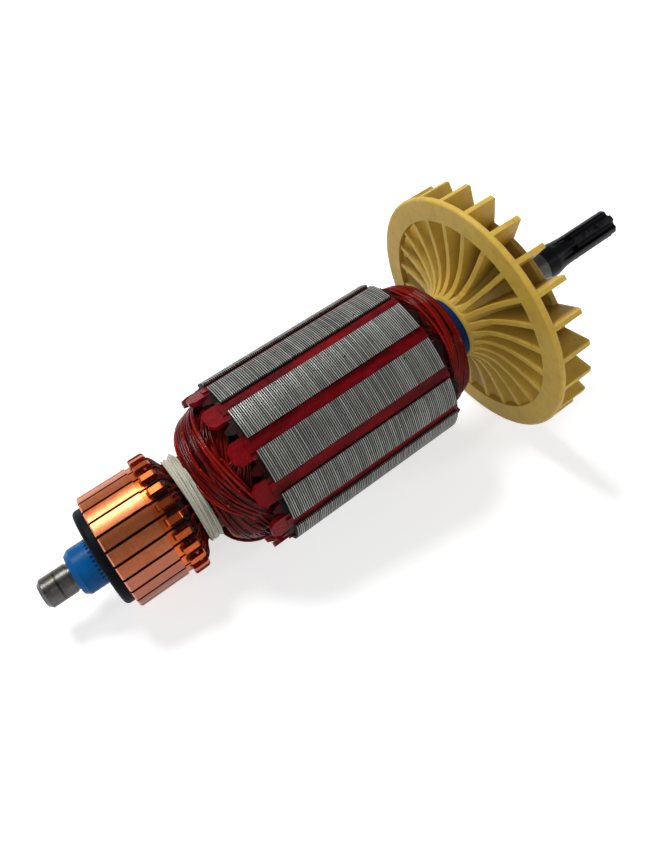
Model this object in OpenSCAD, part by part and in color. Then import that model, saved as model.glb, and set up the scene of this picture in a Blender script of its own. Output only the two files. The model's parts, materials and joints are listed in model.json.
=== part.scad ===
// Motor armature: the wound rotor of a small mains motor, with its commutator,
// cooling fan and pinion, lying on its lamination stack and the rim of its fan.
// Millimetres. Stations along the shaft (x) count from the commutator side of the
// stack, positive towards the pinion; r is the distance from the shaft's axis.

/* [Stack] */
// Radius of the lamination stack
stack_r = 21.5; // [20.5:0.25:23]
// Length of the lamination stack
stack_len = 47.5; // [40:0.5:60]
// Width of each slot's mouth between the tooth tips
mouth_w = 3.3; // [2.6:0.1:3.8]
// Depth of the tooth tips, from the stack's surface to the slot behind them
tip_depth = 1.3; // [1:0.1:1.8]
// Width of a slot just behind the tooth tips
slot_top_w = 6; // [5:0.1:6.6]
// Width of a slot's round bottom
slot_bottom_w = 2.4; // [1.8:0.1:2.8]
// Depth of a slot, from the stack's surface to the middle of its round bottom
slot_depth = 9.3; // [8:0.1:9.8]
// Thickness of the fibre paper that lines each slot
liner_t = 0.25; // [0.15:0.05:0.4]
// How far the liners stand out of the stack at both ends
liner_out = 1.3; // [0.8:0.1:1.8]
// Thickness of the black insulating disc on each end of the stack
disc_t = 1.2; // [0.8:0.1:1.5]
// Length of the lips that stand out of the insulating discs
lip_len = 3.2; // [2.4:0.1:4.2]

/* [Wedges] */
// Thickness of the strip that closes each slot
wedge_t = 1.2; // [0.8:0.1:1.6]
// How deep the strip's raised middle lies below the stack's surface
wedge_sink = 0.9; // [0.6:0.1:1.2]
// Length of the strip's broad tongue at the commutator end
tongue_len = 5.2; // [4:0.1:6]
// Width of the tongue
tongue_w = 5.6; // [4.6:0.1:6.4]

/* [Winding] */
// Length of the commutator-side winding head, from the stack
head_front_len = 13; // [11:0.1:15]
// Length of the drive-side winding head, from the stack
head_back_len = 13.2; // [11:0.1:15]
// Height of the coil bundles that cross the heads
bundle_h = 1.1; // [0.6:0.1:1.3]
// Turn of each coil bundle round the shaft, from its slot to the top of the head
bundle_sweep = 66; // [50:1:80]
// Diameter of the leads between the winding and the commutator
lead_d = 0.84; // [0.6:0.02:1]
// Radius at which the leads run under the string
lead_r = 9.4; // [9.2:0.1:9.8]
// Length of the leads, from the winding head to the commutator
lead_span = 5.9; // [5:0.1:7]
// Thickness of the string that binds the leads
string_d = 1.1; // [0.8:0.05:1.2]

/* [Commutator] */
// Radius of the copper where the brushes run
copper_r = 13.9; // [13.4:0.1:14.5]
// Length of the commutator bars
bar_len = 16.9; // [14:0.1:20]
// Depth of the copper bars, from the brush surface inwards
bar_depth = 4.2; // [3.5:0.1:5]
// Width of the gap between two bars
bar_gap = 0.6; // [0.4:0.05:0.8]
// Length of the brush surface
brush_len = 11.8; // [9:0.1:12.4]
// Drop from the brush surface to the bars' wire ends
brush_step = 0.35; // [0.2:0.05:0.5]
// Width of the hooks that hold the leads
hook_w = 1.5; // [1.2:0.1:2]
// Length of the hooks
hook_len = 3.8; // [3.2:0.1:4.2]
// Height of the hooks above the brush surface
hook_h = 1.1; // [0.9:0.1:1.4]
// Radius of the black collar in front of the copper
core_r = 11.8; // [11:0.1:12.6]
// Length of the black collar
core_front = 2.4; // [1.6:0.1:3]

/* [Shaft] */
// Radius of the bearing seat at the commutator end
small_seat_r = 3.5; // [3.2:0.05:3.7]
// Length of the bearing seat at the commutator end
small_seat_len = 7.3; // [6:0.1:10]
// Radius of the shaft inside its insulation
inner_r = 4; // [3.9:0.05:4.3]
// Radius of the blue insulation on the shaft
sleeve_r = 5.6; // [5.2:0.1:6]
// Length of the insulation in front of the commutator
sleeve_front = 5.8; // [4:0.1:8]
// Radius of the insulation's collar at the drive end
collar_r = 8.6; // [8:0.1:8.9]
// Length of the collar that shows between the winding and the fan
collar_out = 2.2; // [1.2:0.1:4]
// Radius of the bearing seat at the drive end
big_seat_r = 5; // [4.9:0.05:5.2]
// Length of the shaft between the fan and the end of the bearing seat
big_seat_len = 16.9; // [12:0.1:20]
// Length of the plain blackened neck behind the pinion
neck_len = 4; // [3:0.1:6]
// Length of the curve from the neck down to the pinion's teeth
flare_len = 8; // [6:0.1:10]
// Outer radius of the pinion
pinion_r = 3.95; // [3.7:0.05:4.2]
// Length of the pinion's full teeth
pinion_len = 15.4; // [12:0.1:20]
// Radius of the pinion at the foot of its teeth
pinion_root_r = 2.7; // [2.4:0.05:2.9]

/* [Fan] */
// Outer radius of the fan
fan_r = 34.6; // [32:0.1:38]
// Length of the fan along the shaft
fan_len = 16.6; // [15:0.1:20]
// Thickness of the vanes
vane_t = 1.3; // [1:0.1:1.6]
// Distance from the hub's face to the ring
ring_set = 6.2; // [5:0.1:7]
// Thickness of the ring
ring_t = 1.8; // [1.4:0.1:2.4]
// Inner radius of the ring
ring_in_r = 28.4; // [26:0.1:30]
// Thickness of the disc between the vanes
disc_wall = 1.4; // [1:0.1:1.8]
// Radius of the disc between the vanes, which ends inside the ring and behind it
disc_r = 26.4; // [22:0.1:27.5]
// Radius of the hub
hub_r = 9.2; // [8.8:0.1:10]

/* [Fits] */
// Radial clearance where one piece is pushed on or into another
fit_gap = 0.03; // [0.02:0.01:0.05]

/* [Hidden] */
SLOTS = 12;
BARS = 24;
VANES = 24;
TEETH = 6;
KNURLS = 32;
STRANDS = 3;            // turns of string round the leads
SLOT_PITCH = 360 / SLOTS;
BAR_PITCH = 360 / BARS;
DOWN = -90;             // direction of the floor round the shaft; +Y is 0
BAR_PHASE = 5.2;        // direction of the first gap between bars
$fn = 96;

// stations along the shaft
head_front_x = -head_front_len;
riser_x = head_front_x - lead_span;
bars_x = riser_x - bar_len;
step_x = bars_x + brush_len;
core_x = bars_x - core_front;
sleeve_x = core_x - sleeve_front;
shaft_x = sleeve_x - small_seat_len;
collar_x = stack_len + disc_t + fit_gap;
head_back_x = stack_len + head_back_len;
fan_x = head_back_x + collar_out;
fan_back_x = fan_x + fan_len;
neck_x = fan_back_x + big_seat_len;
flare_x = neck_x + neck_len;
pinion_x = flare_x + flare_len;
shaft_end_x = pinion_x + pinion_len;

// slots and what fills them
slot_top_r = stack_r - tip_depth;
slot_bottom_r = stack_r - slot_depth;
slot_slope = atan((slot_top_w - slot_bottom_w) / 2 / (slot_top_r - slot_bottom_r));
liner_wall = fit_gap + liner_t;
fill_wall = liner_wall + fit_gap;
wedge_top_r = slot_top_r - fit_gap;
wedge_r = wedge_top_r - wedge_t;
wedge_out = 0.6;                // how far a wedge stands out at the drive end
crown_w = mouth_w - 0.4;
corner = 1.3;                   // cut corners of a wedge's tongue
lip_w = 2.6;
lip_point = 0.9;
lip_t = 0.8;

// winding heads
head_foot = max(disc_t, liner_out) + fit_gap;
head_r = wedge_r - 0.15;
front_crest_r = 9.6;
back_crest_r = collar_r + 0.9;
HEAD_STEPS = 96;                // facets round a head
HEAD_ROWS = 9;                  // rows of facets from its foot to its top

// commutator
bar_in_r = copper_r - bar_depth;
tail_r = copper_r - brush_step;
hook_r = copper_r + hook_h;
hook_round = 0.8;
eye_r = 0.38;
undercut = 0.8;
core_edge = 1;
bar_edge = 0.3;

// leads and string
lead_top_r = tail_r - 0.6;
string_r = lead_r + lead_d / 2 + string_d / 2 + fit_gap;
string_x = head_front_x - fit_gap - (STRANDS - 0.5) * string_d;
resin_r = lead_r - lead_d / 2 - fit_gap;

// shaft details
seat_chamfer = 0.8;
fan_seat_r = big_seat_r + 0.4;
neck_r = big_seat_r - 0.3;      // where the neck's slight taper ends
relief_w = 0.8;
relief_r = small_seat_r - 0.25;
sleeve_chamfer = 1.2;
knurl_len = 1;
knurl_w = 0.4;
knurl_d = 0.3;
end_chamfer = 0.5;
gap_r = 1.15;                   // radius of the round gap between two teeth
hob_r = 14;                     // radius of the cutter that made the teeth
hob_sweep = 42;

// fan details
rim_round = min(0.8, 0.45 * ring_t);
vane_front = 1;                 // where the vanes start on the hub
vane_rise = 2.2;                // how fast the vanes' front edges sweep out
disc_front = 1.4;               // where the disc starts on the hub
disc_rise = 2;
lean = 2.4;                     // turn of the vanes off the true radius
boss_r = 8.4;
rim_edge = 0.05;

// lying on the floor: two edges of a slot's mouth and the fan's round rim touch it
foot_r = sqrt(pow(stack_r, 2) - pow(mouth_w / 2, 2));
rim_r = fan_r - rim_round;
rim_x = fan_x + ring_set + rim_round;
tilt = atan2(rim_x, foot_r - rim_r) - acos(rim_round / norm([rim_x, foot_r - rim_r]));
lie_z = foot_r * cos(tilt);
left_x = shaft_x * cos(tilt) - (small_seat_r - seat_chamfer) * sin(tilt);
right_x = shaft_end_x * cos(tilt) + (pinion_r - end_chamfer) * sin(tilt);
lie_x = -(left_x + right_x) / 2;

function two_digits(n) = n < 10 ? str("0", n) : str(n);
BAR_NAMES = [for (i = [1:BARS]) str("commutator_bar_", two_digits(i))];
WEDGE_NAMES = [for (i = [1:SLOTS]) str("slot_wedge_", two_digits(i))];

// ---- helpers ----

// Puts the armature down as it lies, from its own axis to the floor.
module lying() {
    translate([lie_x, 0, lie_z]) rotate([0, -tilt, 0]) children();
}

// Turns a profile of [r, x] points round the shaft.
module lathe(points) {
    rotate([0, 90, 0]) rotate_extrude() polygon(points);
}

// Extrudes an outline drawn across the shaft, from x0 to x1; its +X is direction 0.
module along(x0, x1) {
    translate([x0, 0, 0]) rotate([90, 0, 90]) linear_extrude(x1 - x0) children();
}

// Extrudes an outline drawn on the shaft's side, outwards from radius r0 to r1.
module outwards(r0, r1) {
    rotate([90, 0, 0]) translate([0, 0, -r1]) linear_extrude(r1 - r0) children();
}

// A plate that stands on the shaft, with an outline of [x, r] points.
module plate(points, thickness) {
    linear_extrude(thickness, center = true) polygon(points);
}

// Copies its children n times round the shaft, the first in direction start.
module around(n, start = 0) {
    for (i = [0:n - 1]) rotate([start + i * 360 / n, 0, 0]) children();
}

// Points of an arc, for a rounded corner.
function arc(cx, cy, r, a0, a1, n = 5) =
    [for (i = [0:n]) let (a = a0 + (a1 - a0) * i / n) [cx + r * cos(a), cy + r * sin(a)]];

// Half width of a slot at radius r, less a wall.
function slot_half(r, wall) =
    slot_bottom_w / 2 + (r - slot_bottom_r) * tan(slot_slope) - wall / cos(slot_slope);

// Outline of the slot behind the tooth tips, less a wall, from its round bottom to radius top.
function slot_outline(wall, top) = concat(
    [[top, -slot_half(top, wall)], [top, slot_half(top, wall)]],
    arc(slot_bottom_r, 0, slot_bottom_w / 2 - wall, 90 + slot_slope, 270 - slot_slope, 8));

// ---- stack ----

module stack_outline(outer_r) {
    difference() {
        circle(outer_r);
        circle(sleeve_r + fit_gap);
        for (i = [0:SLOTS - 1]) rotate(DOWN + i * SLOT_PITCH) {
            polygon(slot_outline(0, slot_top_r));
            translate([slot_top_r - 1, -mouth_w / 2]) square([outer_r, mouth_w]);
        }
    }
}

module lamination_stack() {
    color("silver") along(0, stack_len) stack_outline(stack_r);
}

// A disc of the teeth's outline, with a pointed lip on each tooth that holds back the coils.
module end_insulator(lip) {
    color([0.08, 0.07, 0.07]) {
        along(0, disc_t) stack_outline(slot_top_r);
        around(SLOTS, DOWN + SLOT_PITCH / 2) outwards(slot_top_r - lip_t, slot_top_r - 0.1)
            polygon([[disc_t / 2, -lip_w / 2], [disc_t + 0.4, -lip_w / 2], [lip, -lip_point / 2],
                     [lip, lip_point / 2], [disc_t + 0.4, lip_w / 2], [disc_t / 2, lip_w / 2]]);
    }
}

module end_insulator_front() {
    mirror([1, 0, 0]) end_insulator(lip_len);
}

module end_insulator_back() {
    translate([stack_len, 0, 0]) end_insulator(0.7 * lip_len);
}

// Folded paper round three sides of each slot; its open side is under the wedge's crown.
module slot_liners() {
    color([0.75, 0.73, 0.68]) around(SLOTS, DOWN) along(-liner_out, stack_len + liner_out)
        difference() {
            polygon(slot_outline(fit_gap, wedge_top_r));
            polygon(slot_outline(liner_wall, wedge_top_r + 1));
        }
}

// The straight coil sides that fill each slot below its wedge.
module slot_conductors() {
    color([0.35, 0.05, 0.04]) around(SLOTS, DOWN)
        along(fit_gap - head_foot, stack_len + head_foot - fit_gap)
            polygon(slot_outline(fill_wall, wedge_r - fit_gap));
}

// A strip that closes the slot, crowned in the slot's mouth, with a broad tongue in front.
module slot_wedge(i) {
    strip = [for (p = slot_outline(fill_wall, wedge_top_r)) if (p.x > wedge_r) p];
    tongue_end = -head_foot;
    color([0.45, 0.03, 0.03]) rotate([DOWN + (i - 1) * SLOT_PITCH, 0, 0]) {
        along(-head_foot, stack_len + wedge_out) {
            polygon([[wedge_r, -slot_half(wedge_r, fill_wall)], strip[0], strip[1],
                     [wedge_r, slot_half(wedge_r, fill_wall)]]);
            translate([wedge_r, -crown_w / 2]) square([stack_r - wedge_sink - wedge_r, crown_w]);
        }
        outwards(wedge_r, wedge_top_r)
            polygon([[tongue_end, -tongue_w / 2], [corner - tongue_len, -tongue_w / 2],
                     [-tongue_len, corner - tongue_w / 2], [-tongue_len, tongue_w / 2 - corner],
                     [corner - tongue_len, tongue_w / 2], [tongue_end, tongue_w / 2]]);
    }
}

// ---- winding ----

// Fullness of the coil bundles at direction a, from 0 between two to 1 on top of one.
// Bundles leave every slot both ways round; the second layer lies under the first.
function strand(a) = let (u = 2 * (a / SLOT_PITCH - floor(a / SLOT_PITCH)) - 1) sqrt(1 - u * u);
function bundles(a, rise) =
    max(strand(a - DOWN - bundle_sweep * rise + SLOT_PITCH / 2),
        strand(a - DOWN + bundle_sweep * rise + SLOT_PITCH / 2) - 0.3);

// One section of a head at direction a, as [distance from the stack, r] points: a quarter
// ellipse from the foot to the top, sunk between the bundles, then down to the bore.
function head_section(a, len, crest_r, bore_r, tail) = concat(
    [for (j = [0:HEAD_ROWS]) let (
        t = 90 * j / HEAD_ROWS,
        sink = bundle_h * (1 - bundles(a, j / HEAD_ROWS)) * cos(t * 0.9) * min(1, 0.4 + j / 2))
        [head_foot + (len - head_foot) * sin(t) - sink * sin(t),
         crest_r + (head_r - crest_r) * cos(t) - sink * cos(t)]],
    tail,
    [[head_foot, bore_r]]);

// Joins the sections into one closed solid; side is 1 at the drive end and -1 in front.
module head(side, start_x, len, crest_r, bore_r, tail) {
    rows = HEAD_ROWS + 2 + len(tail);
    points = [for (i = [0:HEAD_STEPS - 1]) let (a = i * 360 / HEAD_STEPS)
        for (p = head_section(a, len, crest_r, bore_r, tail))
            [start_x + side * p.x, p.y * cos(a), p.y * sin(a)]];
    function at(i, j) = (i % HEAD_STEPS) * rows + j % rows;
    faces = [for (i = [0:HEAD_STEPS - 1], j = [0:rows - 1])
        for (f = [[at(i, j), at(i, j + 1), at(i + 1, j + 1)], [at(i, j), at(i + 1, j + 1), at(i + 1, j)]])
            side > 0 ? [f[0], f[1], f[2]] : [f[2], f[1], f[0]]];
    color([0.5, 0.06, 0.05]) polyhedron(points, faces);
}

module winding_head_front() {
    neck_end = head_front_len + lead_span - fit_gap;
    head(-1, 0, head_front_len, front_crest_r, sleeve_r + fit_gap,
         [[head_front_len, resin_r], [neck_end, resin_r], [neck_end, sleeve_r + fit_gap]]);
}

module winding_head_back() {
    head(1, stack_len, head_back_len, back_crest_r, collar_r + fit_gap,
         [[head_back_len, collar_r + fit_gap]]);
}

// A straight piece of lead from [x, r] point p to q, with a rounded knee at its start.
module lead_piece(p, q, knee) {
    translate([p.x, p.y, 0]) {
        rotate([0, 90, atan2(q.y - p.y, q.x - p.x)])
            cylinder(d = lead_d, h = norm(q - p), $fn = 24);
        if (knee) sphere(d = 1.06 * lead_d, $fn = 24);
    }
}

// Each lead drops from the back of its bar and runs under the string into the winding.
module lead_wires() {
    bend = [string_x - string_d / 2 - 0.2, lead_r];
    color([0.3, 0.05, 0.04]) around(BARS, BAR_PHASE + BAR_PITCH / 2) {
        lead_piece([riser_x + lead_d / 2 + fit_gap, lead_top_r], bend, false);
        lead_piece(bend, [head_front_x - fit_gap, lead_r], true);
    }
}

module string_binding() {
    color([0.82, 0.8, 0.72]) for (i = [0:STRANDS - 1])
        translate([string_x + i * string_d, 0, 0]) rotate([0, 90, 0])
            rotate_extrude() translate([string_r, 0]) circle(d = string_d - fit_gap, $fn = 32);
}

// ---- commutator ----

// The sector that one bar fills, between two gaps with parallel sides.
module bar_sector() {
    apex = bar_gap / 2 / sin(BAR_PITCH / 2);
    reach = 2 * copper_r;
    polygon([[apex, 0], [apex + reach * cos(BAR_PITCH / 2), -reach * sin(BAR_PITCH / 2)],
             [apex + reach * cos(BAR_PITCH / 2), reach * sin(BAR_PITCH / 2)]]);
}

// The tang of a bar, folded back over the leads, with the eye that grips them.
module hook() {
    tip_x = riser_x - hook_len;
    base_r = tail_r - 0.5;
    linear_extrude(hook_w, center = true) difference() {
        polygon(concat(
            [[tip_x, base_r]],
            arc(tip_x + hook_round / 2, hook_r - hook_round / 2, hook_round / 2, 180, 90),
            arc(riser_x - hook_round, hook_r - hook_round, hook_round, 90, 0),
            [[riser_x, base_r]]));
        translate([riser_x - 1.5, tail_r + eye_r]) circle(eye_r, $fn = 24);
    }
}

module commutator_bar(i) {
    color([0.72, 0.38, 0.2]) rotate([BAR_PHASE + (i - 0.5) * BAR_PITCH, 0, 0]) {
        intersection() {
            lathe([[bar_in_r, bars_x], [copper_r - bar_edge, bars_x], [copper_r, bars_x + bar_edge],
                   [copper_r, step_x], [tail_r, step_x], [tail_r, riser_x], [bar_in_r, riser_x]]);
            along(bars_x - 1, riser_x + 1) bar_sector();
        }
        hook();
    }
}

// The moulded body: a round-edged collar, the core under the bars and a rib in every gap.
module commutator_core() {
    color([0.05, 0.05, 0.06]) {
        lathe(concat(
            [[sleeve_r + fit_gap, core_x]],
            arc(core_r - core_edge, core_x + core_edge, core_edge, -90, 0),
            [[core_r, bars_x], [bar_in_r - fit_gap, bars_x],
             [bar_in_r - fit_gap, riser_x], [sleeve_r + fit_gap, riser_x]]));
        around(BARS, BAR_PHASE) along(bars_x + bar_edge, riser_x)
            translate([bar_in_r - 1, fit_gap - bar_gap / 2])
                square([copper_r - undercut - bar_in_r + 1, bar_gap - 2 * fit_gap]);
    }
}

// ---- shaft ----

// Two teeth are parted by a round groove that runs out along the cutter's radius.
module tooth_gap() {
    centre_r = pinion_root_r + gap_r;
    translate([pinion_x, centre_r, 0]) rotate([0, 90, 0])
        cylinder(r = gap_r, h = pinion_len + 1, $fn = 32);
    translate([pinion_x, centre_r + hob_r, 0]) rotate([0, 0, 270 - hob_sweep])
        rotate_extrude(angle = hob_sweep) translate([hob_r, 0]) circle(gap_r, $fn = 32);
}

// The ground steel shaft, one piece with its blackened neck and pinion. The fan's seat is a
// little larger than the bearing's, and the neck a little smaller, so each pushes on freely.
module shaft() {
    flare = [for (i = [0:8]) let (t = i / 8)
        [pinion_r + (neck_r - pinion_r) * pow(1 - t, 2.2), flare_x + t * flare_len]];
    color([0.45, 0.45, 0.47]) difference() {
        lathe(concat(
            [[0, shaft_x], [small_seat_r - seat_chamfer, shaft_x], [small_seat_r, shaft_x + seat_chamfer],
             [small_seat_r, sleeve_x - relief_w], [relief_r, sleeve_x - relief_w],
             [relief_r, sleeve_x + relief_w], [inner_r, sleeve_x + relief_w],
             [inner_r, fan_x], [fan_seat_r, fan_x], [fan_seat_r, fan_back_x],
             [big_seat_r, fan_back_x], [big_seat_r, neck_x], [big_seat_r - 0.1, neck_x]],
            flare,
            [[pinion_r, shaft_end_x - end_chamfer], [pinion_r - end_chamfer, shaft_end_x],
             [0, shaft_end_x]]));
        around(TEETH, DOWN) tooth_gap();
    }
}

// The moulded sleeve between the shaft and all that it carries, with a collar at the fan.
module shaft_insulation() {
    bore = inner_r + fit_gap;
    color([0.05, 0.3, 0.6]) difference() {
        lathe([[bore, sleeve_x], [sleeve_r - sleeve_chamfer * 0.7, sleeve_x],
               [sleeve_r, sleeve_x + sleeve_chamfer], [sleeve_r, collar_x], [collar_r, collar_x],
               [collar_r, fan_x - fit_gap], [bore, fan_x - fit_gap]]);
        around(KNURLS) outwards(sleeve_r - knurl_d, sleeve_r + 1)
            translate([core_x - knurl_len, -knurl_w / 2]) square([knurl_len, knurl_w]);
    }
}

// ---- fan ----

// How far a swept surface has come from the hub's face at radius r.
function sweep_out(r, near, far, rise) = far - (far - near) * pow(hub_r / r, rise);

// One vane: its front edge sweeps from the hub out under the ring, its back edge is flat.
module fan_vane() {
    far = ring_set + 0.9;
    outer = fan_r - rim_edge;
    front = [for (i = [0:10]) let (r = hub_r + (ring_in_r + 1 - hub_r) * pow(i / 10, 1.6))
        [sweep_out(r, vane_front, far, vane_rise), r]];
    translate([fan_x, outer, 0]) rotate([lean, 0, 0]) translate([0, -outer, 0])
        plate(concat([[fan_len, boss_r - 1], [vane_front, boss_r - 1]], front,
                     [[ring_set + ring_t / 2, outer - 1], [ring_set + ring_t / 2, outer],
                      [fan_len - 0.3, outer], [fan_len, outer - 0.4]]), vane_t);
}

module fan() {
    bore = fan_seat_r + fit_gap;
    reach = fan_len - disc_wall;
    radii = [for (i = [0:10]) hub_r + (disc_r - hub_r) * pow(i / 10, 1.6)];
    disc_far = reach + (reach - disc_front) / (pow(disc_r / hub_r, disc_rise) - 1);
    front = [for (r = radii) [r, fan_x + sweep_out(r, disc_front, disc_far, disc_rise)]];
    back = [for (i = [9:-1:0]) [max(front[i][0] - disc_wall, boss_r), front[i][1] + disc_wall]];
    color([0.85, 0.76, 0.5]) {
        lathe(concat([[bore, fan_x], [hub_r - 0.5, fan_x], [hub_r, fan_x + 0.5]], front,
                     [[disc_r, fan_back_x], [disc_r - disc_wall, fan_back_x]],
                     [for (p = back) if (p.x > boss_r) p],
                     [[boss_r, fan_x + disc_front + 4 * disc_wall], [boss_r, fan_back_x],
                      [bore, fan_back_x]]));
        lathe(concat([[ring_in_r, fan_x + ring_set]],
                     arc(rim_r, rim_x, rim_round, -90, 0),
                     arc(rim_r, fan_x + ring_set + ring_t - rim_round, rim_round, 0, 90),
                     [[ring_in_r, fan_x + ring_set + ring_t]]));
        difference() {
            around(VANES) fan_vane();
            rotate([0, 90, 0]) translate([0, 0, fan_x]) cylinder(r = bore, h = fan_len + 1);
        }
    }
}

// ---- the armature ----

lying() {
    shaft();
    shaft_insulation();
    lamination_stack();
    end_insulator_front();
    end_insulator_back();
    slot_liners();
    slot_conductors();
    winding_head_front();
    winding_head_back();
    lead_wires();
    string_binding();
    commutator_core();
    fan();
    for (i = [1:BARS]) commutator_bar(i);
    for (i = [1:SLOTS]) slot_wedge(i);
}
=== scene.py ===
# %% [markdown]
# # A motor armature
# The turning part of a small mains motor: a steel core wound with red enamelled wire, a
# copper commutator at one end, a moulded fan at the other, and a pinion cut on the shaft.
# The rigid pieces come ready made from the CAD model and get their finishes here. The
# wires, the leads and the string are made here, because their look is in their strands.

# %% Load the frame
import json
import math
import random

import bmesh
import bpy
from mathutils import Matrix, Vector, noise


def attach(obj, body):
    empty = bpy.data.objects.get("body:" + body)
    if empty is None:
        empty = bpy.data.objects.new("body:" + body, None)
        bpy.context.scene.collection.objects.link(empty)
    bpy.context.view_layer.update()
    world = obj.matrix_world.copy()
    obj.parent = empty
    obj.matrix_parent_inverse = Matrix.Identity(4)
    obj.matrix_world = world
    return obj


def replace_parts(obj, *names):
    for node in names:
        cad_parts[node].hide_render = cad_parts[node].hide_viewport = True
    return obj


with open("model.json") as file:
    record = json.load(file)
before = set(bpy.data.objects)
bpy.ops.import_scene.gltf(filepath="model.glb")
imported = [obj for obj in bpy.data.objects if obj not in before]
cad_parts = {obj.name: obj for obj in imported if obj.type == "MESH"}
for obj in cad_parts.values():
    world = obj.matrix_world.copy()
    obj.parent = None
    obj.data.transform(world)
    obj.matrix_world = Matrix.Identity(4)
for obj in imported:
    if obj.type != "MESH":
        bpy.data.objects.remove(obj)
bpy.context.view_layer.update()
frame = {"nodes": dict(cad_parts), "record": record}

# %% [markdown]
# ## The shaft's own space
# The armature lies tilted, on its core and the rim of its fan. A tilted axis is awkward to
# model on, so every new piece is made along a level shaft, in millimetres, and one matrix
# lays it down at the end: x runs from the core's commutator end towards the pinion. The
# shaft's real place and direction come from the bearing seat at the drive end, whose
# middle is 87.95 mm from that core end.

# %% Shaft space
mounts = {m["name"]: m for m in frame["record"]["mounts"]}
seat = mounts["drive_journal"]
DRIVE_SEAT_X = 87.95
shaft_axis = Vector(seat["axis"]).normalized()
core_end = Vector(seat["pos_m"]) - shaft_axis * DRIVE_SEAT_X / 1000
tilt = math.atan2(shaft_axis.z, shaft_axis.x)
turn = Matrix.Rotation(-tilt, 4, "Y")
LAY_DOWN = Matrix.Translation(core_end) @ turn @ Matrix.Scale(0.001, 4)
print("tilt:", round(math.degrees(tilt), 2), "core end:", core_end)


def on_shaft(x, r, degrees):
    """A point in shaft space, from its place along the shaft, its radius and its direction."""
    a = math.radians(degrees)
    return Vector((x, r * math.cos(a), r * math.sin(a)))


# %% [markdown]
# ## Writing a finish
# A finish is a tree of shader nodes. Wiring it up by hand hides the idea behind sockets,
# so Signal wraps one socket and its maths reads as plain arithmetic, and Finish.node adds
# any other node in one line. Each finish has the shaft's space built in: f.x is the place
# along the shaft, f.r the radius and f.turn the direction, in millimetres and degrees, so
# that turning marks can go round the shaft and stains can sit where they belong.

# %% Signal
class Signal:
    """The output of a node, with arithmetic that adds Math nodes."""
    def __init__(self, finish, socket):
        self.finish, self.socket = finish, socket

    def math(self, operation, *others):
        return self.finish.node("ShaderNodeMath", {"operation": operation}, self, *others)

    def __add__(self, other): return self.math("ADD", other)
    def __sub__(self, other): return self.math("SUBTRACT", other)
    def __mul__(self, other): return self.math("MULTIPLY", other)
    def __truediv__(self, other): return self.math("DIVIDE", other)
    def __rsub__(self, other): return self.math("MULTIPLY", -1) + other

    __radd__, __rmul__ = __add__, __mul__


# %% Finish
MIX_AMOUNT, MIX_A, MIX_B, MIX_RESULT = 0, 6, 7, 2


class Finish:
    """A material and its node tree; fixed values go on the shader's own sockets."""
    def __init__(self, name, **fixed):
        self.material = bpy.data.materials.new(name)
        self.material.use_nodes = True
        self.tree = self.material.node_tree
        self.shader = self.tree.nodes["Principled BSDF"]
        for socket, value in fixed.items():
            self.shader.inputs[socket.replace("_", " ")].default_value = value
        position = self.node("ShaderNodeTexCoord", {}, out="Object")
        back = turn.inverted()
        self.place = self.node("ShaderNodeMapping", {}, Vector=position, Scale=(1000, 1000, 1000),
                               Location=tuple(-1000 * (back @ core_end)), Rotation=(0, tilt, 0))
        self.x, y, z = [self.node("ShaderNodeSeparateXYZ", {}, self.place, out=k)
                        for k in range(3)]
        self.r = (y * y + z * z).math("SQRT")
        self.turn = z.math("ARCTAN2", y) * (180 / math.pi)

    def feed(self, socket, value):
        """Links a signal to a socket, or sets a plain value on it."""
        if isinstance(value, Signal):
            self.tree.links.new(value.socket, socket)
        else:
            socket.default_value = value

    def node(self, kind, settings, *values, out=0, **named):
        """Adds a node: its settings first, then the values or links of its sockets."""
        made = self.tree.nodes.new(kind)
        for setting, value in settings.items():
            setattr(made, setting, value)
        for key, value in [*enumerate(values), *named.items()]:
            self.feed(made.inputs[key if isinstance(key, int) else key.replace("_", " ")], value)
        return Signal(self, made.outputs[out])

    def noise(self, scale, detail=3, rough=0.55, stretch=(1, 1, 1)):
        """Cloudy noise from 0 to 1; scale is in cycles per millimetre."""
        shaped = self.node("ShaderNodeMapping", {}, self.place, Scale=stretch)
        return self.node("ShaderNodeTexNoise", {}, shaped,
                         Scale=scale, Detail=detail, Roughness=rough)

    def step(self, value, low, high):
        """A soft step from 0 at low to 1 at high."""
        return self.node("ShaderNodeMapRange", {"interpolation_type": "SMOOTHSTEP"},
                         value, low, high)

    def band(self, value, middle, outer, inner):
        """1 where value is within inner of the middle, and 0 from outer on."""
        return self.step((value - middle).math("ABSOLUTE"), outer, inner)

    def mix(self, amount, a, b):
        """Colour a where amount is 0 and b where it is 1. Mix has its sockets by number."""
        made = self.tree.nodes.new("ShaderNodeMix")
        made.data_type = "RGBA"
        self.feed(made.inputs[MIX_AMOUNT], amount)
        for index, colour in ((MIX_A, a), (MIX_B, b)):
            self.feed(made.inputs[index], colour if isinstance(colour, Signal) else (*colour, 1))
        return Signal(self, made.outputs[MIX_RESULT])

    def random(self, value):
        """A random number from 0 to 1 for each whole number."""
        return self.node("ShaderNodeTexWhiteNoise", {"noise_dimensions": "1D"}, W=value)

    def set(self, bump=None, strength=0.5, depth=0.1, **signals):
        """Links signals to the shader's sockets; bump is a height, depth its size in mm."""
        if bump:
            signals["Normal"] = self.node("ShaderNodeBump", {}, Strength=strength,
                                          Distance=depth / 1000, Height=bump)
        for socket, value in signals.items():
            self.tree.links.new(value.socket, self.shader.inputs[socket.replace("_", " ")])
        return self.material


# %% Colours and dressing
def srgb(r, g, b):
    """A colour as it looks on screen, 0 to 255, for a shader."""
    def linear(c):
        c /= 255
        return c / 12.92 if c <= 0.04045 else ((c + 0.055) / 1.055) ** 2.4
    return (linear(r), linear(g), linear(b))


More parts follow.
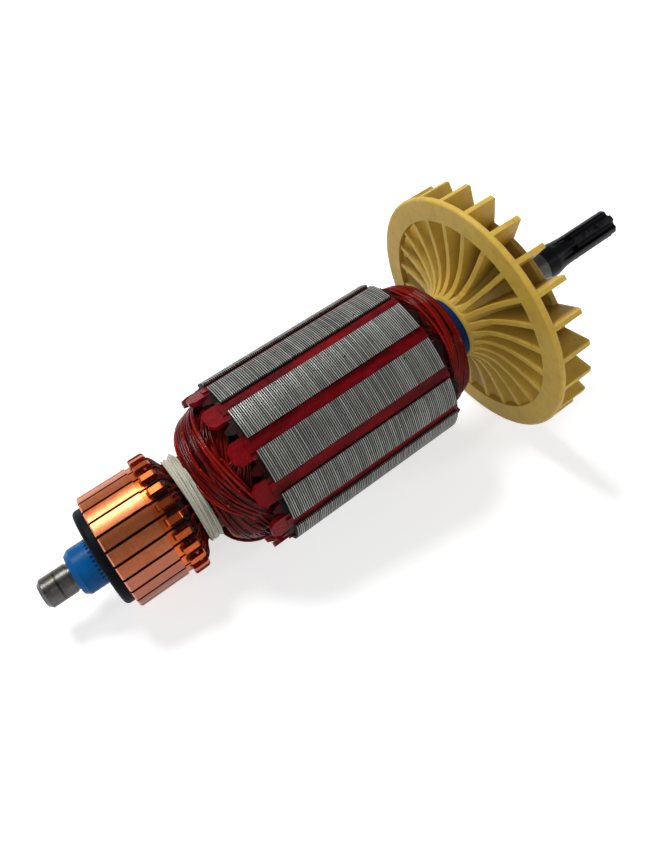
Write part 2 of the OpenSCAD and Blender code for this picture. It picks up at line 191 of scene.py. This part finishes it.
def nodes_named(start):
    """The names of the CAD nodes that start alike."""
    return [name for name in frame["nodes"] if name.startswith(start)]


def dress(material, *names):
    """Gives CAD nodes a finish."""
    for name in names:
        data = frame["nodes"][name].data
        data.materials.clear()
        data.materials.append(material)
    print(material.name, "on", len(names), "nodes, from", names[0])


# %% [markdown]
# ## The core
# The core is a stack of nearly a hundred sheets of electrical steel. Modelled one by one
# they would be heavy for lines this thin, so the solid stays whole and the sheets are a
# pattern along x: the whole part of x / SHEET numbers a sheet and a random number for it
# gives its tone, while the fraction gives the dark joint between two sheets. Slow noise
# pushes the joints a little out of line. Specks and stains of rust and varnish lie on top,
# and the walls of the slots, below the core's outside, are painted dark as shade.

# %% Sheets and joints
SHEET = 0.5
f = Finish("electrical_steel", Metallic=0.35, Specular_IOR_Level=0.15)
wander = f.noise(0.15, 2) * 0.16
sheet = (f.x + wander) / SHEET
which = sheet.math("FLOOR")
across = sheet.math("FRACT")
joint = f.step((across - 0.5).math("ABSOLUTE"), 0.16, 0.34)
patch = (f.turn / 9).math("FLOOR")
tone = f.random(which) * 0.55 + f.random(which * 7.3 + patch) * 0.2
tone = tone + f.noise(0.35, 3) * 0.45
bright = f.mix(tone, srgb(78, 80, 78), srgb(172, 173, 167))
steel = f.mix(joint, bright, srgb(20, 21, 21))

# %% Specks, stains and painted shade on the slot walls
SLOT_WALL_R = 21.2
speck = f.step(f.noise(0.9, 2), 0.70, 0.74)
stain = f.step(f.noise(0.12, 4), 0.52, 0.75)
# The slot walls below the core's outside are painted dark, as shade inside the slots.
slot_wall_painted_shade = f.step(f.r, SLOT_WALL_R, SLOT_WALL_R - 0.3)
steel = f.mix(speck, steel, srgb(20, 17, 15))
steel = f.mix(stain * 0.35, steel, srgb(70, 67, 62))
steel = f.mix(slot_wall_painted_shade, steel, srgb(40, 34, 32))
sheet_steel = f.set(Base_Color=steel, Roughness=0.42 + joint * 0.3,
                    bump=(1 - joint) + f.noise(1.5) * 0.3, strength=0.6, depth=0.12)
dress(sheet_steel, "lamination_stack")

# %% [markdown]
# ## Shaft
# The shaft is one piece of steel with two looks. The bearing seats are ground and stay
# bright, with fine marks round the shaft: noise that is squeezed along x and stretched
# across it turns into such marks. The commutator's end has a dull film of use, one dark
# ring of painted shade where a groove runs, and some brown towards its tip. Beyond the
# drive-side seat the steel is blackened by its heat treatment, and the crests of the
# pinion's teeth are worn a little lighter.

# %% Ground steel
GROOVE_X = -47.4
f = Finish("ground_steel", Specular_IOR_Level=0.1)
marks = f.noise(1.0, 4, 0.7, stretch=(9, 0.25, 0.25))
worn = f.noise(0.35, 4, 0.6)
ground = f.mix(marks * 0.7 + worn * 0.4, srgb(38, 37, 36), srgb(112, 111, 108))
film = f.step(f.noise(0.6, 4), 0.45, 0.65) * f.step(f.x, 0, -10)
# A dark ring is painted here as the shade of a groove in the journal.
groove_painted_shade = f.band(f.x, GROOVE_X, 0.32, 0.16)
brown = f.step(f.noise(0.5, 3), 0.56, 0.7) * f.step(f.x, -40, -44)
ground = f.mix(film * 0.5, ground, srgb(60, 60, 60))
ground = f.mix(groove_painted_shade * 0.75, ground, srgb(38, 35, 33))
ground = f.mix(brown * 0.7, ground, srgb(92, 74, 58))

# %% Blackened steel
BLACK_X, TOOTH_CREST_R, TOOTH_TIP_X = 96.2, 3.7, 109
black = f.step(f.x, BLACK_X, BLACK_X + 0.3)
rubbed = f.step(f.noise(0.8, 3), 0.35, 0.65)
crest = f.step(f.r, TOOTH_CREST_R, TOOTH_CREST_R + 0.25) * f.step(f.x, TOOTH_TIP_X - 4, TOOTH_TIP_X)
oxide = f.mix(f.noise(0.6, 4), srgb(6, 6, 8), srgb(17, 18, 21))
oxide = f.mix(crest * rubbed * 0.3, oxide, srgb(66, 66, 68))
ground_steel = f.set(Base_Color=f.mix(black, ground, oxide), Metallic=0.9 - black * 0.5,
                     Roughness=0.24 + marks * 0.16 + black * 0.06,
                     bump=marks + worn * 0.4, strength=0.35, depth=0.03)
dress(ground_steel, "shaft")

# %% [markdown]
# ## Mouldings
# The sleeve that insulates the shaft is blue nylon, painted darker towards the fan as the
# fan's shade. The commutator's body is a black phenolic, and varnish reddens it between
# the bars. The core's end discs are black fibre with blots of the red varnish of the
# winding. A plain colour would look like new plastic, so each has the cloudy mottling of a
# moulding, and the same clouds feed its bump.

# %% Blue nylon
f = Finish("blue_plastic", Roughness=0.35, Specular_IOR_Level=0.1)
cloud = f.noise(0.5, 3)
blue = f.mix(cloud, srgb(0, 66, 116), srgb(0, 92, 160))
# The sleeve is painted a darker blue next to the fan, as the fan's shade on it.
blue = f.mix(f.step(f.x, 55, 57) * 0.8, blue, srgb(4, 12, 70))
blue_plastic = f.set(Base_Color=blue, bump=f.noise(2.5, 2) + cloud, strength=0.25, depth=0.05)
dress(blue_plastic, "shaft_insulation")

# %% Black phenolic
BAR_FOOT_R = 12.4
f = Finish("phenolic", Specular_IOR_Level=0.06)
cloud = f.noise(0.8, 4)
body = f.mix(cloud, srgb(3, 6, 11), srgb(12, 18, 27))
body = f.mix(f.step(f.r, BAR_FOOT_R, BAR_FOOT_R + 0.2), body, srgb(34, 10, 9))
phenolic = f.set(Base_Color=body, Roughness=0.42 + cloud * 0.2,
                 bump=cloud, strength=0.3, depth=0.05)
dress(phenolic, "commutator_core")

# %% Black fibre
f = Finish("black_fibre", Specular_IOR_Level=0.08)
cloud = f.noise(0.7, 4)
blot = f.step(f.noise(0.45, 3), 0.46, 0.58)
fibre = f.mix(cloud, srgb(6, 4, 4), srgb(22, 12, 12))
fibre = f.mix(blot * 0.85, fibre, srgb(56, 2, 5))
black_fibre = f.set(Base_Color=fibre, Roughness=0.35 + cloud * 0.4,
                    bump=cloud, strength=0.5, depth=0.1)
dress(black_fibre, "end_insulator_front", "end_insulator_back")

# %% [markdown]
# ## Slot liners and wedges
# The liners are grey fibre paper, stained by varnish. The wedges that close the slots are
# a fibre strip flooded with varnish, so they take the red of the wire, a clear coat and a
# lumpy surface. Their flow is noise stretched along the slot, as varnish runs, and the
# ends that stand out of the core at the commutator's side are a brighter red.

# %% Liner paper
f = Finish("liner_paper", Roughness=0.7, Specular_IOR_Level=0.1)
stain = f.step(f.noise(0.6, 4), 0.4, 0.6)
liner_paper = f.set(Base_Color=f.mix(stain, srgb(66, 60, 60), srgb(30, 5, 6)),
                    bump=f.noise(3, 2), strength=0.3, depth=0.05)
dress(liner_paper, "slot_liners")

# %% Red fibre
f = Finish("red_fibre", Coat_Weight=0.14, Coat_Roughness=0.06, Specular_IOR_Level=0.05)
flow = f.noise(0.35, 3, stretch=(0.35, 1, 1))
fine = f.noise(1.6, 4)
red = f.mix(f.step(flow, 0.3, 0.7), srgb(74, 1, 7), srgb(118, 4, 13))
red = f.mix(f.step(fine, 0.58, 0.72) * 0.5, red, srgb(58, 4, 8))
red = f.mix(f.step(f.x, -0.5, -2.0) * 0.5, red, srgb(124, 8, 14))
red_fibre = f.set(Base_Color=red, Roughness=0.36 + fine * 0.25,
                  bump=flow + f.noise(0.5, 3) + fine * 0.35, strength=0.8, depth=0.5)
dress(red_fibre, *nodes_named("slot_wedge"))

# %% [markdown]
# ## Commutator
# The copper was turned on a lathe and run in by the brushes, so its marks go round the
# shaft. The bars are numbered from their direction, as the sheets of the core were from
# x, and each number gives a tone; one side of the track is painted darker, as shade.
# Behind the track the bars are raw orange copper, and their hooks are darker. Heat has
# darkened the edges of the bars and left blotches. Varnish lies between the hooks, a
# crescent of painted shadow lies in front of each hook, and deep in the gaps the bars are
# painted dark as shade. All of it is masks over one metal, so that the bars stay one
# material and one clean solid each.

# %% Brush track and raw copper
FIRST_GAP, BAR = 5.2, 15.0
PAINTED_SHADE_SIDE = 196
TRACK_END_X, FRONT_RIM_X = -24.1, -35.35
f = Finish("commutator_copper", Specular_IOR_Level=0.1)
bar = (f.turn - FIRST_GAP) / BAR
which = bar.math("FLOOR")
across = (bar.math("FRACT") - 0.5).math("ABSOLUTE")
turned = f.noise(1.0, 4, 0.75, stretch=(11, 0.18, 0.18))
patina = f.noise(0.22, 4, 0.6)
track = f.mix(f.random(which) * 0.5 + patina * 0.6, srgb(178, 90, 50), srgb(212, 126, 82))
track = f.mix(f.step(turned, 0.5, 0.68) * 0.45, track, srgb(138, 62, 34))
# One side of the track is painted darker and pinkish, as shade on that side.
side_painted_shade = f.band(f.turn, PAINTED_SHADE_SIDE, 62, 30) + f.band(f.turn, PAINTED_SHADE_SIDE - 360, 62, 30)
track = f.mix(side_painted_shade * 0.75, track, srgb(138, 86, 74))
raw = f.mix(f.noise(0.5, 3), srgb(188, 78, 30), srgb(218, 106, 48))
copper = f.mix(f.step(f.x, TRACK_END_X, TRACK_END_X + 0.2), track, raw)
copper = f.mix(f.step(f.x, FRONT_RIM_X, FRONT_RIM_X - 0.25) * 0.7, copper, srgb(214, 140, 112))

# %% Hooks, edges and blotches
HOOK_R, HOOK_X = 13.7, -22.8
hooks = f.step(f.r, HOOK_R + 0.05, HOOK_R + 0.25) * f.step(f.x, HOOK_X - 0.4, HOOK_X)
edge = f.step(across, 0.40, 0.46) * (0.35 + f.noise(0.8, 2) * 0.6)
blotch = f.step(f.noise(0.55, 4), 0.5, 0.68)
hook_copper = f.mix(f.noise(1.2, 2), srgb(120, 46, 22), srgb(206, 100, 50))
copper = f.mix(edge, copper, srgb(96, 36, 20))
copper = f.mix(blotch * 0.35, copper, srgb(150, 76, 50))
copper = f.mix(hooks * 0.65, copper, hook_copper)

# %% Varnish, painted shadow and painted shade on the copper
BAR_INNER_R = 13.35
below_hooks = 1 - f.step(f.r, HOOK_R, HOOK_R + 0.2)
varnish = f.step(f.x + f.noise(0.8, 2) * 1.6, -21.6, -20.9) * below_hooks
varnish = varnish * f.step(across + f.noise(1.2, 2) * 0.12, 0.24, 0.30)
# In front of each hook a crescent is painted dark, as the hook's shadow on the bar.
crescent_painted_shadow = f.band(f.x, HOOK_X + 0.05, 0.42, 0.2) * (1 - f.step(f.r, HOOK_R, HOOK_R + 0.25))
crescent_painted_shadow = crescent_painted_shadow * f.step(across, 0.3, 0.22)
# Deep in the gaps the sides of the bars are painted dark, as shade between the bars.
gap_painted_shade = f.step(f.r, BAR_INNER_R, BAR_INNER_R - 0.25)
# Varnish, the painted shadow and the painted shade share one dark colour and turn the metal off.
varnish_and_painted_shade = (varnish + crescent_painted_shadow * 0.85 + gap_painted_shade).math("MINIMUM", 1)
copper = f.mix(varnish_and_painted_shade, copper, f.mix(f.noise(1.5, 2), srgb(16, 6, 5), srgb(58, 16, 12)))
run_in_copper = f.set(Base_Color=copper, Metallic=1 - varnish_and_painted_shade * 0.9,
                      Roughness=0.26 + turned * 0.14 + varnish_and_painted_shade * 0.1,
                      bump=turned + patina * 0.3, strength=0.35, depth=0.03)
dress(run_in_copper, *nodes_named("commutator_bar"))

# %% [markdown]
# ## Fan
# The fan is moulded in natural nylon that has yellowed with age: cream, a little
# translucent, with tiny dark specks. The channels behind its disc are painted dark brown,
# as shade. The disc sweeps back as it goes out, so shade that followed x alone would cross
# it: the finish works out how far back the disc is at each radius, and darkens only what
# lies behind it, less and less towards the rim.

# %% Natural nylon
FAN_X, HUB_R, DISC_REACH, DISC_CURVE = 62.9, 9.2, 7.1, 6.1
f = Finish("fan_nylon", Roughness=0.48, Specular_IOR_Level=0.25, Subsurface_Weight=0.3,
           Subsurface_Scale=0.003, Subsurface_Radius=(1.0, 0.7, 0.25))
cloud = f.noise(0.12, 3)
sweep = DISC_REACH - (f.r / HUB_R).math("POWER", -2.2) * DISC_CURVE
behind = f.x - FAN_X - sweep
yellowed = f.step(f.noise(0.35, 4), 0.45, 0.7)
# The channels behind the disc are painted darker brown, as shade deep between the vanes.
channel_painted_shade = f.step(behind, 1.2, 7.5) * f.step(f.r, 31, 26)
speck = f.step(f.noise(1.4, 1), 0.76, 0.79)
cream = f.mix(cloud, srgb(188, 154, 58), srgb(204, 172, 78))
cream = f.mix(yellowed * 0.35, cream, srgb(168, 134, 60))
cream = f.mix(channel_painted_shade * 0.6, cream, srgb(104, 72, 24))
cream = f.mix(speck * 0.7, cream, srgb(84, 60, 30))
fan_nylon = f.set(Base_Color=cream, bump=f.noise(0.5, 3) + cloud, strength=0.3, depth=0.3)
dress(fan_nylon, "fan")

# %% [markdown]
# ## Enamelled wire
# The wire is copper under a dark red enamel, with a thin coat of varnish that gives the
# sharp highlights. Hundreds of wires in one colour would melt into a lump, so every wire
# gets its own shade, and the coils under the top pair get darker ones as painted shade.
# The shade is an attribute on the points of the mesh, so all wires of a head share one
# mesh and one material. Patches of the enamel are darker, a few specks of copper show
# through, and the wires are painted nearly black as shade where they go down into the
# slots.

# %% Wire enamel
SLOT_END_FRONT, SLOT_END_BACK = -2.0, 49.0
f = Finish("enamelled_copper", Coat_Weight=0.2, Coat_Roughness=0.03, Specular_IOR_Level=0.02)
shade = f.node("ShaderNodeAttribute", {"attribute_name": "wire_shade"}, out="Fac")
wear = f.noise(0.5, 4)
speck = f.step(f.noise(1.6, 2), 0.66, 0.72)
# The wires are painted nearly black near the core, as shade where they go down into the slots.
near_core_painted_shade = (f.step(f.x, SLOT_END_FRONT - 3, SLOT_END_FRONT)
             * f.step(f.x, SLOT_END_BACK + 3.5, SLOT_END_BACK))
enamel = f.mix(shade, srgb(26, 0, 2), srgb(132, 19, 12))
enamel = f.mix(f.step(wear, 0.55, 0.75) * 0.5, enamel, srgb(26, 3, 3))
enamel = f.mix(speck * 0.5, enamel, srgb(190, 72, 40))
enamel = f.mix(near_core_painted_shade * 0.8, enamel, srgb(22, 2, 3))
enamelled_copper = f.set(Base_Color=enamel, Roughness=0.26 + wear * 0.2,
                         bump=wear, strength=0.15, depth=0.1)
dress(enamelled_copper, "slot_conductors")

# %% [markdown]
# ## Making wires
# A wire is a path of points with a round section. A curve with a bevel depth draws that
# in one step, and turning the curve into a mesh gives every path its own tube. Six sides
# are enough for a wire under a millimetre thick, and keep the heads light. The mesh holds
# the points of all the end caps first and then tube after tube, so a list of shades laid
# over it from the start slides along by some wires, and each wire changes its shade once
# near an end. Random shades can bear that, and the points left over take a middle one.

# %% Pieces and wires
WIRE_SIDES, MIDDLE_SHADE = 6, 0.5


def piece_of(name, mesh, material):
    """Puts a new mesh in the scene, on the armature's one body."""
    mesh.name = name
    mesh.shade_smooth()
    mesh.materials.clear()
    mesh.materials.append(material)
    piece = bpy.data.objects.new(name, mesh)
    bpy.context.collection.objects.link(piece)
    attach(piece, "root")
    return piece


def wires(name, paths, thickness, material, shades):
    """Makes one mesh of round wires along paths in shaft space, with a shade for each."""
    rod = bpy.data.curves.new(name, "CURVE")
    rod.dimensions = "3D"
    rod.bevel_depth = thickness / 2000
    rod.bevel_resolution = (WIRE_SIDES - 4) // 2
    rod.use_fill_caps = True
    for path in paths:
        spline = rod.splines.new("POLY")
        spline.points.add(len(path) - 1)
        for point, place in zip(spline.points, path):
            point.co = (*(LAY_DOWN @ place), 1)
    drawn = bpy.data.objects.new(name + "_drawn", rod)
    mesh = bpy.data.meshes.new_from_object(drawn)
    bpy.data.objects.remove(drawn)
    tones = [tone for path, tone in zip(paths, shades) for _ in range(len(path) * WIRE_SIDES)]
    tones += [MIDDLE_SHADE] * (len(mesh.vertices) - len(tones))
    attribute = mesh.attributes.new("wire_shade", "FLOAT", "POINT")
    attribute.data.foreach_set("value", tones)
    piece = piece_of(name, mesh, material)
    triangles = sum(len(p.vertices) - 2 for p in mesh.polygons)
    print(name, "wires:", len(paths), "triangles:", triangles)
    return piece


# %% [markdown]
# ## Winding heads
# Each coil leaves a slot, bends round the shaft over a little less than half a turn and
# goes back into the core five slots further on. Two coils are wound at a time, on
# opposite sides, so the last pair lies on top of all the others. No two wires follow
# quite the same line, but they keep side by side, so a coil is drawn as a family of paths
# on a dome over the core's end: crest is how high its middle wire climbs and spread how
# far the outer ones part from it, both in degrees of the dome. The deeper a coil was
# wound, the lower its dome, and all but the last pair rise faster out of their slots. A
# random slip, drift and lift for each wire keep the family from looking combed.

# %% The dome over the core's end
END_DISC = 1.3


class Head:
    """One end of the winding: side is 1 at the drive end, start its place on the shaft."""
    def __init__(self, side, start, length, foot_r, crest_r, crest, spread):
        self.side, self.start, self.length = side, start, length
        self.foot_r, self.crest_r = foot_r, crest_r
        self.crest, self.spread = crest, spread

    def dome(self, direction, rise, depth):
        """A point of the dome: rise is 0 at the foot and 90 at the crest, depth in mm."""
        t = math.radians(rise)
        wide, tall = self.foot_r - self.crest_r, self.length - END_DISC
        out = Vector((math.cos(t) / wide, math.sin(t) / tall)).normalized()
        r = self.crest_r + wide * math.cos(t) - depth * out.x
        d = END_DISC + tall * math.sin(t) - depth * out.y
        return on_shaft(self.start + self.side * d, r, direction)


# %% The wires of one coil
SLOT, PITCH, LOWEST = 30.0, 5, -90
WIRE, ROWS, ROW = 0.72, 2, 0.9
LAYER, BUNDLE = 0.7, 5.5
TOP_LEVEL, POINTS = 5, 32


def coil(head, first_slot, level, strands, seed):
    """The wires of one coil, of which the last wound has TOP_LEVEL; slots count from below."""
    dice = random.Random(seed)
    on_top = level == TOP_LEVEL
    half = PITCH * SLOT / 2
    middle = LOWEST + first_slot * SLOT + half
    steepness = 1.5 if on_top else 2.2
    made = []
    for k in range(strands):
        row = k % ROWS
        side_by_side = (k // ROWS + 0.5) / (strands / ROWS) * 2 - 1
        phase, drift, lift = dice.random() * 6.28, dice.uniform(-0.16, 0.16), dice.uniform(0, 0.7)
        slip = dice.uniform(-0.3, 0.3)
        full = 0.85 if on_top else 0.6 - 0.28 * side_by_side
        path = []
        for j in range(POINTS + 1):
            s = j / POINTS
            along = 2 * s - 1
            over = math.sin(math.pi * s)
            wander = side_by_side + (drift + 0.14 * math.sin(4 * s + phase)) * over
            reach = (half + (side_by_side + slip) * BUNDLE) * along
            rise = (head.crest + wander * head.spread) * over ** full
            buried = (TOP_LEVEL - level) * LAYER + 0.1 + row * WIRE * ROW + lift * over
            end = 1.0 + row * WIRE * ROW + abs(slip) * 3
            if along > 0 and not on_top:
                end += 3.0
            depth = end + (buried - end) * min(1, over * steepness)
            path.append(head.dome(middle + reach, min(rise, 89), depth))
        into_slot = Vector((head.side * 2.0, 0, 0))
        made.append([path[0] - into_slot, *path, path[-1] - into_slot])
    return made


# %% Both heads
def winding(head, name, node, seed):
    """Winds six pairs of coils. The three outer pairs show, so they have more wires."""
    dice = random.Random(seed)
    paths, shades = [], []
    for level in range(TOP_LEVEL + 1):
        first = (9 - level) % 12
        # Coils under the top pair get darker shades, painted as the shade deeper in the head.
        brightest_with_painted_shade = 1.0 if level == TOP_LEVEL else 0.8
        for opposite in (0, 6):
            made = coil(head, first + opposite, level, 34 if level > 2 else 24,
                        seed + level * 7 + opposite)
            paths += made
            shades += [dice.random() ** 1.3 * brightest_with_painted_shade for _ in made]
    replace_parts(wires(name, paths, WIRE, enamelled_copper, shades), node)


front_head = Head(-1, 0.0, 13.4, 18.7, 10.1, 58, 30)
back_head = Head(1, 47.5, 12.4, 18.7, 10.2, 42, 22)
winding(front_head, "coils_front", "winding_head_front", 11)
winding(back_head, "coils_back", "winding_head_back", 23)

# %% [markdown]
# ## The dark bed under the coils
# Between the bundles one looks down on varnish that has run together and into shade deep
# in the winding. A dark solid of revolution a few millimetres below the coils closes these
# gaps, so it is partly varnish and partly painted shade. It is spun from one profile, the
# head's own dome set lower, so bed and coils can't drift apart, and noise then moves its
# points in and out so that it looks poured.

# %% Varnish and painted shade
f = Finish("dark_varnish_and_painted_shade", Coat_Weight=0.1, Coat_Roughness=0.15, Specular_IOR_Level=0.15)
lump = f.noise(0.7, 4)
# One dark colour stands for varnish and for painted shade deep between the coils.
varnish_and_shade_tone = f.mix(f.step(lump, 0.45, 0.7), srgb(5, 2, 2), srgb(24, 6, 5))
dark_varnish_and_painted_shade = f.set(Base_Color=varnish_and_shade_tone, Roughness=0.3 + lump * 0.3,
                      bump=lump, strength=0.8, depth=0.5)

# %% Beds of varnish and painted shade
SPIN_STEPS, LUMPS_PER_MM = 96, 0.9


def spun(name, profile, lumps):
    """Spins a closed profile of (x, r) points round the shaft, then roughens it."""
    bm = bmesh.new()
    points = [bm.verts.new(on_shaft(x, r, 0)) for x, r in profile]
    edges = [bm.edges.new((a, b)) for a, b in zip(points, points[1:] + points[:1])]
    bmesh.ops.spin(bm, geom=points + edges, cent=(0, 0, 0), axis=(1, 0, 0), angle=math.tau,
                   steps=SPIN_STEPS, use_merge=True, use_duplicate=False)
    bmesh.ops.remove_doubles(bm, verts=bm.verts, dist=1e-4)
    bmesh.ops.recalc_face_normals(bm, faces=bm.faces)
    for v in bm.verts:
        v.co += v.normal * noise.noise(v.co * LUMPS_PER_MM) * lumps
    bm.transform(LAY_DOWN)
    mesh = bpy.data.meshes.new(name)
    bm.to_mesh(mesh)
    bm.free()
    piece_of(name, mesh, dark_varnish_and_painted_shade)
    print(name, "faces:", len(mesh.polygons))


def bed(head, name, depth, bore):
    """A bed at a depth below the coils of a head, with a bore for the shaft."""
    rim = [head.dome(0, rise, depth) for rise in range(0, 91, 10)]
    profile = [(p.x, p.y) for p in rim]
    profile += [(profile[-1][0], bore), (profile[0][0], bore)]
    spun(name, profile, lumps=0.5)


bed(front_head, "bed_front", 3.4, 6.2)
bed(back_head, "bed_back", 3.4, 8.9)

# %% [markdown]
# ## Leads
# Two wires come out on each side of every hook, drop steeply behind the commutator and go
# under the string into the winding. They lie on a cone of dark resin, spun like the beds.
# A wire's fall is a logistic curve, which starts and ends level and so leaves no kink at
# the hook or on the cone. Each lead has its own slant and bow.

# %% Resin cone
RISER_X, BORE_R = -18.9, 6.2
resin_cone = [(RISER_X + 0.05, 13.0), (-18.3, 12.4), (-17.5, 10.9), (-16.8, 9.5),
              (-12.6, 9.5), (-8.6, 9.4), (-8.6, BORE_R), (RISER_X + 0.05, BORE_R)]
spun("lead_resin", resin_cone, lumps=0.45)

# %% Leads
BARS, LEAD, LEAD_POINTS = 24, 0.62, 12
LEAD_R, LEAD_FALL, LEAD_LENGTH = 13.35, 3.75, 6.6
FALL_MIDDLE, FALL_STEEPNESS = 0.22, 18
dice = random.Random(5)
paths = []
for bar_number in range(BARS):
    middle = FIRST_GAP + (bar_number + 0.5) * BAR
    for side in (-1, 1):
        for pair in range(2):
            begin = middle + side * 2.3 + dice.uniform(-0.8, 0.8) + pair * 3.5
            slant = dice.uniform(-16, 4)
            bow = dice.uniform(0, 0.5)
            path = []
            for j in range(LEAD_POINTS + 1):
                s = j / LEAD_POINTS
                x = RISER_X - 0.3 + s * LEAD_LENGTH
                fall = 1 / (1 + math.exp(-(s - FALL_MIDDLE) * FALL_STEEPNESS))
                bowed = bow * math.sin(math.pi * s) * (1 - fall)
                r = LEAD_R - pair * 0.35 + bowed - fall * LEAD_FALL
                path.append(on_shaft(x, r, begin + slant * s))
            paths.append(path)
dice = random.Random(9)
shades = [dice.random() for _ in paths]
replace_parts(wires("leads", paths, LEAD, enamelled_copper, shades),
            "lead_wires")

# %% [markdown]
# ## String
# The string holds the leads down between the commutator and the winding: a few turns of
# soft white cord, wound tight and varnished. A plain tube would look like plastic, so it
# is drawn as three yarns that twist slowly round each other along one path. The path runs
# towards the core, with small wobbles so that the turns don't lie like a machine's, and
# ends with a turn laid slantwise back over the others, as a hand-tied binding has.

# %% Cord finish
f = Finish("binding_string", Roughness=0.6, Coat_Weight=0.1, Coat_Roughness=0.35)
soft = f.noise(1.8, 4)
fibres = f.noise(5, 3, stretch=(1, 0.25, 0.25))
soiled = f.step(f.noise(0.35, 3), 0.55, 0.7)
cord = f.mix(soft, srgb(158, 155, 138), srgb(212, 210, 194))
cord = f.mix(soiled * 0.5, cord, srgb(150, 138, 112))
binding_string = f.set(Base_Color=cord, bump=soft + fibres, strength=0.5, depth=0.12)

# %% Three yarns
TURNS, YARN, YARNS, POINTS_PER_TURN = 4.6, 0.54, 3, 90
STRING_X, STRING_WIDTH, STRING_R = -16.3, 2.95, 10.38
WOUND, LAID_BACK = 0.8, 0.2
BACK_X, BACK_WIDTH, BACK_RISE, TWIST = -13.35, 2.0, 0.55, 1.3
yarns = []
for yarn in range(YARNS):
    path = []
    for j in range(int(TURNS * POINTS_PER_TURN)):
        s = j / (TURNS * POINTS_PER_TURN)
        angle = 360 * TURNS * s
        x, r = STRING_X + STRING_WIDTH * s / WOUND, STRING_R
        if s >= WOUND:
            back = (s - WOUND) / LAID_BACK
            x = BACK_X - BACK_WIDTH * back
            r = STRING_R + BACK_RISE * math.sin(math.pi * min(1, back * 1.1))
        x += 0.12 * math.sin(math.radians(angle * 0.7)) + 0.05 * math.sin(math.radians(angle * 2.3))
        twist = math.radians(angle * TWIST + yarn * 360 / YARNS)
        path.append(on_shaft(x + YARN / 2 * math.cos(twist), r + YARN / 2 * math.sin(twist),
                             angle + 40))
    yarns.append(path)
dice = random.Random(3)
shades = [dice.random() for _ in yarns]
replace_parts(wires("string", yarns, YARN, binding_string, shades),
            "string_binding")

# %% [markdown]
# ## Room, light and camera
# Bright metal shows the room more than its own colour, so the room matters as much as the
# lamps. The floor is plain pale paint that glows a little for the camera and for
# reflections but lights nothing, so it looks pale while it keeps the armature's shadow.
# The walls are pale and fade to a dark ceiling, which leaves the tops of the wires deep
# in colour. A small lamp from above gives the sharp highlights on copper and varnish, and
# two weaker ones lift the shadows from the front and the side.

# %% Floor
FLOOR_SIZE, PALE = 40, (0.62, 0.62, 0.62)
bpy.ops.mesh.primitive_plane_add(size=FLOOR_SIZE)
floor = bpy.context.object
floor.name = "floor"
f = Finish("floor_paint", Roughness=0.9, Emission_Strength=1.0)
camera_ray, glossy_ray, transmission_ray = [
    f.node("ShaderNodeLightPath", {}, out=f"Is {kind} Ray")
    for kind in ("Camera", "Glossy", "Transmission")]
seen = (camera_ray + glossy_ray + transmission_ray).math("MINIMUM", 1)
f.set(Base_Color=f.mix(f.noise(0.005), (0.6, 0.6, 0.6), PALE),
      Emission_Color=f.mix(seen, (0, 0, 0), PALE))
floor.data.materials.append(f.material)

# %% Walls and ceiling
world = bpy.data.worlds.new("pale_room")
bpy.context.scene.world = world
world.use_nodes = True
nodes, links = world.node_tree.nodes, world.node_tree.links
sky = nodes["Background"]
way, height, walls = [nodes.new("ShaderNode" + kind)
                      for kind in ("TexCoord", "SeparateXYZ", "MapRange")]
walls.interpolation_type = "SMOOTHSTEP"
for socket, value in (("From Min", 0.25), ("From Max", 0.7), ("To Min", 0.75), ("To Max", 0.12)):
    walls.inputs[socket].default_value = value
links.new(way.outputs["Generated"], height.inputs[0])
links.new(height.outputs["Z"], walls.inputs["Value"])
links.new(walls.outputs[0], sky.inputs["Strength"])
sky.inputs["Color"].default_value = (1, 1, 1, 1)

# %% Lamps
AIM = Vector((0, 0, 0.02))


def lamp(name, place, size, watts):
    light = bpy.data.lights.new(name, "AREA")
    light.shape, light.size, light.energy = "DISK", size, watts
    holder = bpy.data.objects.new(name, light)
    holder.location = place
    holder.rotation_mode = "QUATERNION"
    holder.rotation_quaternion = (AIM - Vector(place)).to_track_quat("-Z", "Y")
    bpy.context.collection.objects.link(holder)
    print(name, "lamp:", watts, "W")


lamp("key", (-0.15, 0.35, 0.75), 0.3, 6)
lamp("front", (-0.55, -0.5, 0.5), 0.3, 1.2)
lamp("side", (0.6, -0.4, 0.45), 0.12, 0.9)

# %% Camera
lens = bpy.data.cameras.new("camera")
lens.sensor_width, lens.lens = 36, 33.26
lens.shift_x, lens.shift_y = -0.0532, -0.1389
lens.clip_start = 0.01
camera = bpy.data.objects.new("camera", lens)
camera.location = (-0.09004, -0.11366, 0.16918)
camera.rotation_euler = [math.radians(a) for a in (50.606, -1.88, -36.731)]
bpy.context.collection.objects.link(camera)
bpy.context.scene.camera = camera
bpy.context.scene.view_settings.view_transform = "Standard"
